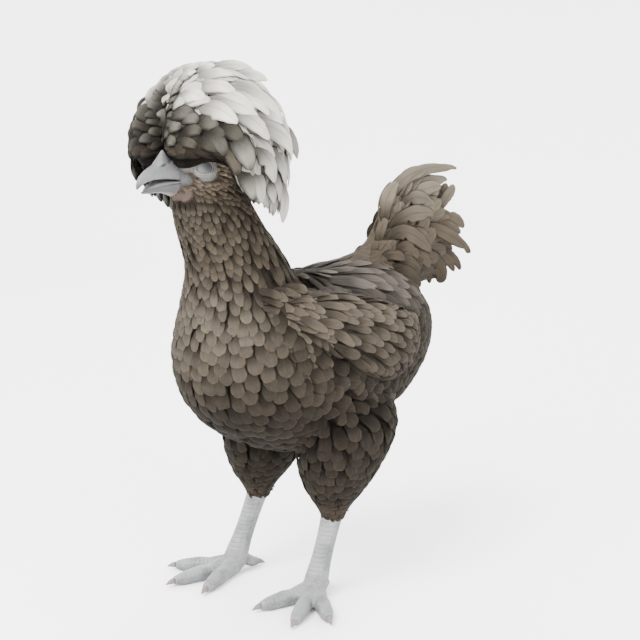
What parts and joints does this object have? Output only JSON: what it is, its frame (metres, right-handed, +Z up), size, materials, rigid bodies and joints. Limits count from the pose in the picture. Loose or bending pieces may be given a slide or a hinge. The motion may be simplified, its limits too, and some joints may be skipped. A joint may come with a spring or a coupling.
{
  "type": "crested hen",
  "caption": "Standing hen with a feather crest, folded wings, raised tail and bare legs, a still model at life size.",
  "frame": {"origin": "middle of the overall box at floor level", "axes": "+Z up, the bird faces -Y, +X is to its own left"},
  "size_m": [0.1791, 0.3637, 0.4209],
  "materials": {
    "torso": "taupe feathers, matte",
    "neck": "taupe feathers, matte",
    "head": "skin with short feathers, matte",
    "crest": "cream and dark feathers, matte",
    "tail": "taupe feathers, matte",
    "wings": "taupe feathers, matte",
    "thighs": "taupe feathers, matte",
    "feet": "pale grey scales, satin",
    "bill": "pale grey horn, satin",
    "tongue": "pale, satin",
    "eyes": "pale grey, glossy",
    "claws": "pale horn, satin"
  },
  "bodies": {
    "root": {"torso": "torso", "neck": "neck", "head": "head", "crest": "crest", "tail": "tail", "wing_left": "wings", "wing_right": "wings", "thigh_left": "thighs", "thigh_right": "thighs", "shank_left": "feet", "shank_right": "feet", "bill_upper": "bill", "bill_lower": "bill", "tongue": "tongue", "eye_left": "eyes", "eye_right": "eyes", "claw_left_inner": "claws", "claw_left_middle": "claws", "claw_left_outer": "claws", "claw_left_hind": "claws", "claw_right_inner": "claws", "claw_right_middle": "claws", "claw_right_outer": "claws", "claw_right_hind": "claws"}
  },
  "joints": []
}
